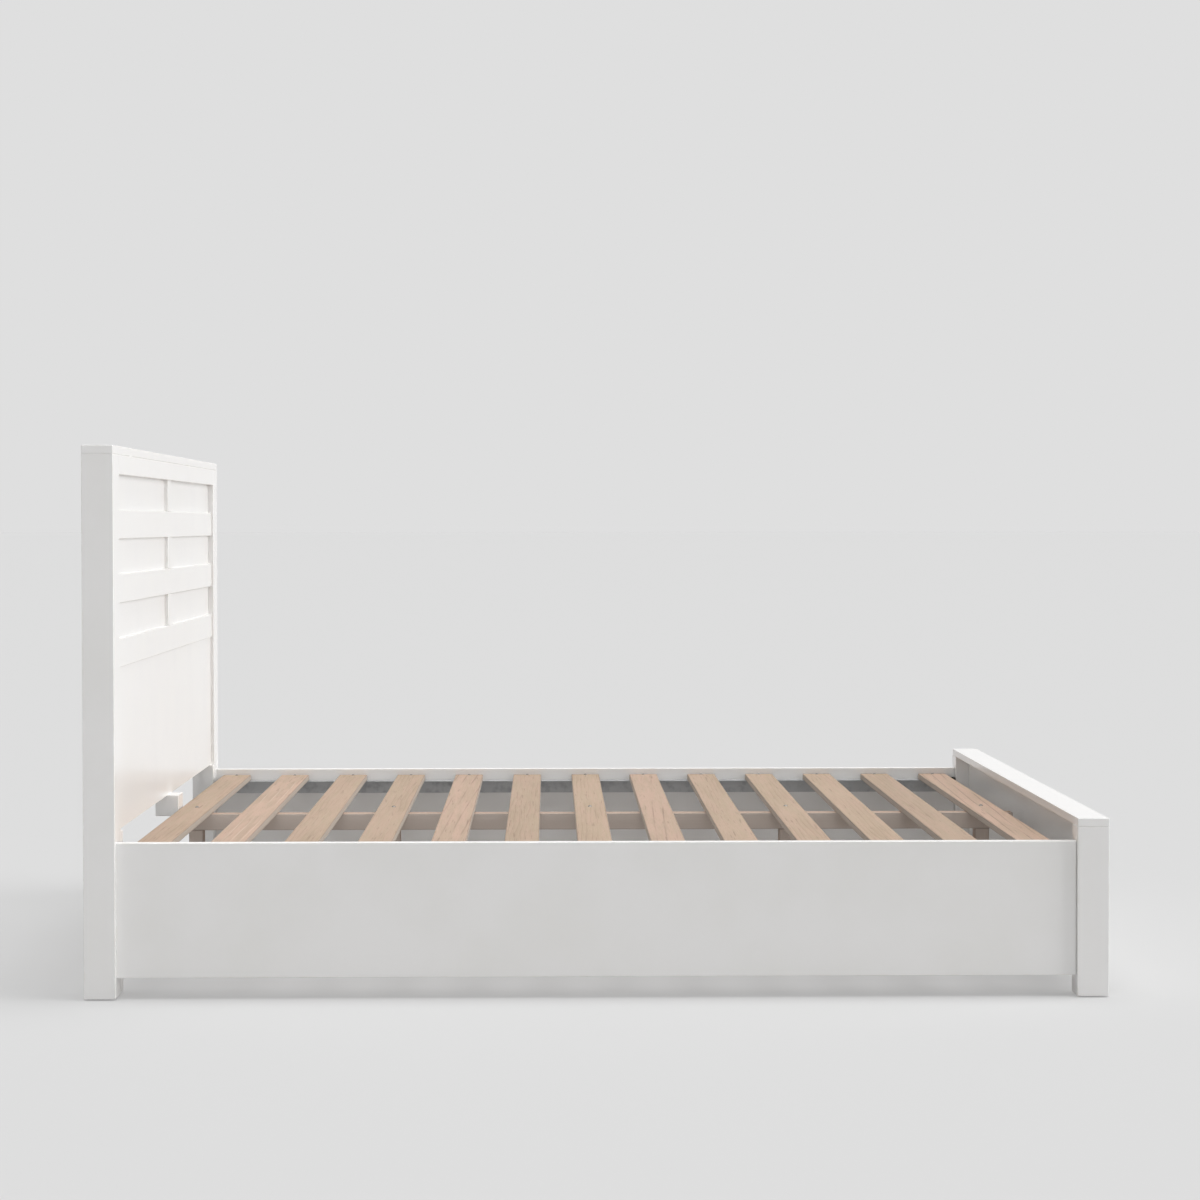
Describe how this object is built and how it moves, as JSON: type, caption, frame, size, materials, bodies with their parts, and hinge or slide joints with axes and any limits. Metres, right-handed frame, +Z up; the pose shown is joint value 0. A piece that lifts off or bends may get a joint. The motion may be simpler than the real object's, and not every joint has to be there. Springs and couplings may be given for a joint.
{
  "type": "platform bed",
  "caption": "White painted bed frame with a tall panelled headboard, low footboard, deep side rails and a slatted mattress deck on a centre beam.",
  "frame": {"origin": "on the floor, below the middle of the bed", "axes": "+X from head to foot, +Y across the bed, +Z up"},
  "size_m": [2.184, 1.92, 1.18],
  "materials": {
    "white_paint": "satin white paint",
    "slat_wood": "planed bare wood",
    "beam_wood": "planed bare wood",
    "dowel_wood": "fluted beech, glued",
    "black_steel": "black powder coat",
    "ledger_steel": "plain rolled steel, grey",
    "zinc": "zinc plated",
    "glide_plastic": "moulded pale plastic"
  },
  "bodies": {
    "root": {"beam_bracket": "black_steel", "bracket_screws": "zinc", "centre_beam": "beam_wood", "centre_block_screws": "zinc", "centre_leg_1": "beam_wood", "centre_leg_2": "beam_wood", "centre_leg_3": "beam_wood", "centre_leg_4": "beam_wood", "centre_leg_5": "beam_wood", "floor_glides": "glide_plastic", "foot_cap": "white_paint", "foot_panel": "white_paint", "foot_post_far": "white_paint", "foot_post_near": "white_paint", "head_batten_bottom": "white_paint", "head_batten_top": "white_paint", "head_cap": "white_paint", "head_centre_block": "white_paint", "head_inner_leg_far": "white_paint", "head_inner_leg_near": "white_paint", "head_lower_panel": "white_paint", "head_mullion_lower": "white_paint", "head_mullion_middle": "white_paint", "head_mullion_upper": "white_paint", "head_post_far": "white_paint", "head_post_near": "white_paint", "head_rail_lower": "white_paint", "head_rail_middle": "white_paint", "head_rail_upper": "white_paint", "head_top_rail": "white_paint", "head_upper_panel": "white_paint", "inner_leg_screws": "zinc", "ledger_screws": "zinc", "post_inserts": "zinc", "rail_bracket_bolts": "black_steel", "rail_bracket_foot_far": "black_steel", "rail_bracket_foot_near": "black_steel", "rail_bracket_head_far": "black_steel", "rail_bracket_head_near": "black_steel", "side_rail_far": "white_paint", "side_rail_near": "white_paint", "slat_01": "slat_wood", "slat_02": "slat_wood", "slat_03": "slat_wood", "slat_04": "slat_wood", "slat_05": "slat_wood", "slat_06": "slat_wood", "slat_07": "slat_wood", "slat_08": "slat_wood", "slat_09": "slat_wood", "slat_10": "slat_wood", "slat_11": "slat_wood", "slat_12": "slat_wood", "slat_13": "slat_wood", "slat_beam_screws": "zinc", "slat_end_screws": "zinc", "slat_ledger_far": "ledger_steel", "slat_ledger_near": "ledger_steel", "wood_dowels": "dowel_wood"}
  },
  "joints": []
}
